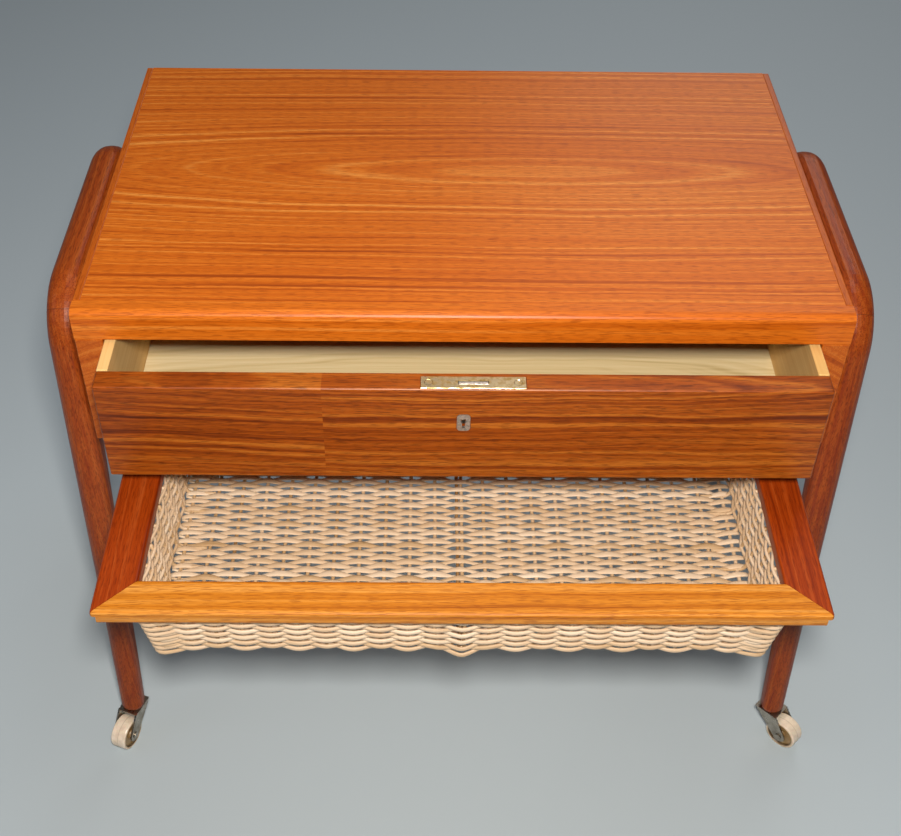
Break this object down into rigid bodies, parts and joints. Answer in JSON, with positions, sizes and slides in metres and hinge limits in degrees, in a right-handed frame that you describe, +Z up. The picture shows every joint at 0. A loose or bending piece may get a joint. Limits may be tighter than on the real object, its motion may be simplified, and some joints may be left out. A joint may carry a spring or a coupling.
{
  "type": "sewing table",
  "caption": "Teak sewing table on casters: a low case with a locking drawer between two rounded side frames, over a sliding woven cane tray.",
  "frame": {"origin": "middle of the footprint at floor height, as shown with drawer and tray pulled out", "axes": "+X to the right along the case, +Y from the drawer's front to the back, +Z up"},
  "size_m": [0.6662, 0.5295, 0.512],
  "materials": {
    "teak_top": "oiled teak veneer, satin",
    "teak_edge": "oiled solid teak, satin",
    "teak_frame": "darker oiled solid teak, satin",
    "teak_front": "oiled teak veneer, satin",
    "teak_tray": "oiled solid teak, satin",
    "birch": "pale birch, lightly varnished",
    "plywood": "pale plywood, unfinished",
    "beech": "planed beech",
    "cane": "woven natural cane",
    "brass": "dulled brass",
    "steel": "bright zinc",
    "nickel": "worn nickel plating",
    "nylon": "cream nylon, satin"
  },
  "bodies": {
    "frame": {"top_board": "teak_top", "top_front_edge": "teak_edge", "top_lipping_left": "teak_edge", "side_panel_left": "teak_edge", "drawer_stop_left": "beech", "tray_runner_left": "beech", "side_rail_left": "teak_frame", "leg_front_left": "teak_frame", "frame_spacer_front_left": "teak_frame", "frame_screw_front_left": "steel", "leg_rear_left": "teak_frame", "frame_spacer_rear_left": "teak_frame", "frame_screw_rear_left": "steel", "top_lipping_right": "teak_edge", "side_panel_right": "teak_edge", "drawer_stop_right": "beech", "tray_runner_right": "beech", "side_rail_right": "teak_frame", "leg_front_right": "teak_frame", "frame_spacer_front_right": "teak_frame", "frame_screw_front_right": "steel", "leg_rear_right": "teak_frame", "frame_spacer_rear_right": "teak_frame", "frame_screw_rear_right": "steel", "back_panel": "plywood", "bottom_panel": "plywood"},
    "drawer": {"drawer_front": "teak_front", "drawer_side_left": "birch", "lock_screw_left": "brass", "drawer_side_right": "birch", "lock_screw_right": "brass", "drawer_back": "birch", "drawer_bottom": "plywood", "lock_case": "steel", "lock_face_plate": "brass", "keyhole_escutcheon": "nickel", "lock_key_pin": "steel"},
    "lock_bolt": {"lock_bolt": "nickel"},
    "tray": {"tray_frame_front": "teak_tray", "tray_frame_rear": "teak_tray", "tray_frame_left": "teak_tray", "tray_frame_right": "teak_tray", "basket": "cane"},
    "caster_front_left": {"caster_fork_front_left": "nickel", "caster_axle_front_left": "steel"},
    "wheel_front_left": {"caster_wheel_front_left": "nylon"},
    "caster_front_right": {"caster_fork_front_right": "nickel", "caster_axle_front_right": "steel"},
    "wheel_front_right": {"caster_wheel_front_right": "nylon"},
    "caster_rear_left": {"caster_fork_rear_left": "nickel", "caster_axle_rear_left": "steel"},
    "wheel_rear_left": {"caster_wheel_rear_left": "nylon"},
    "caster_rear_right": {"caster_fork_rear_right": "nickel", "caster_axle_rear_right": "steel"},
    "wheel_rear_right": {"caster_wheel_rear_right": "nylon"}
  },
  "joints": [
    {"name": "drawer_slide", "type": "slide", "parent": "frame", "child": "drawer", "axis": [0, -1, 0], "range_m": [-0.0495, 0.21]},
    {"name": "lock_bolt_slide", "type": "slide", "parent": "drawer", "child": "lock_bolt", "axis": [0, 0, 1], "range_m": [0, 0.006]},
    {"name": "tray_slide", "type": "slide", "parent": "frame", "child": "tray", "axis": [0, -1, 0], "range_m": [-0.158, 0.09]},
    {"name": "caster_swivel_front_left", "type": "hinge", "parent": "frame", "child": "caster_front_left", "pos_m": [-0.304, -0.10524, 0.03], "axis": [0, 0, 1], "continuous": true},
    {"name": "wheel_spin_front_left", "type": "hinge", "parent": "caster_front_left", "child": "wheel_front_left", "pos_m": [-0.31112, -0.12285, 0.0155], "axis": [0.9272, -0.3746, 0], "continuous": true},
    {"name": "caster_swivel_front_right", "type": "hinge", "parent": "frame", "child": "caster_front_right", "pos_m": [0.304, -0.10524, 0.03], "axis": [0, 0, 1], "continuous": true},
    {"name": "wheel_spin_front_right", "type": "hinge", "parent": "caster_front_right", "child": "wheel_front_right", "pos_m": [0.31744, -0.11867, 0.0155], "axis": [0.7071, 0.7071, 0], "continuous": true},
    {"name": "caster_swivel_rear_left", "type": "hinge", "parent": "frame", "child": "caster_rear_left", "pos_m": [-0.304, 0.23024, 0.03], "axis": [0, 0, 1], "continuous": true},
    {"name": "wheel_spin_rear_left", "type": "hinge", "parent": "caster_rear_left", "child": "wheel_rear_left", "pos_m": [-0.31744, 0.24367, 0.0155], "axis": [-0.7071, -0.7071, 0], "continuous": true},
    {"name": "caster_swivel_rear_right", "type": "hinge", "parent": "frame", "child": "caster_rear_right", "pos_m": [0.304, 0.23024, 0.03], "axis": [0, 0, 1], "continuous": true},
    {"name": "wheel_spin_rear_right", "type": "hinge", "parent": "caster_rear_right", "child": "wheel_rear_right", "pos_m": [0.31112, 0.24785, 0.0155], "axis": [-0.9272, 0.3746, 0], "continuous": true}
  ]
}
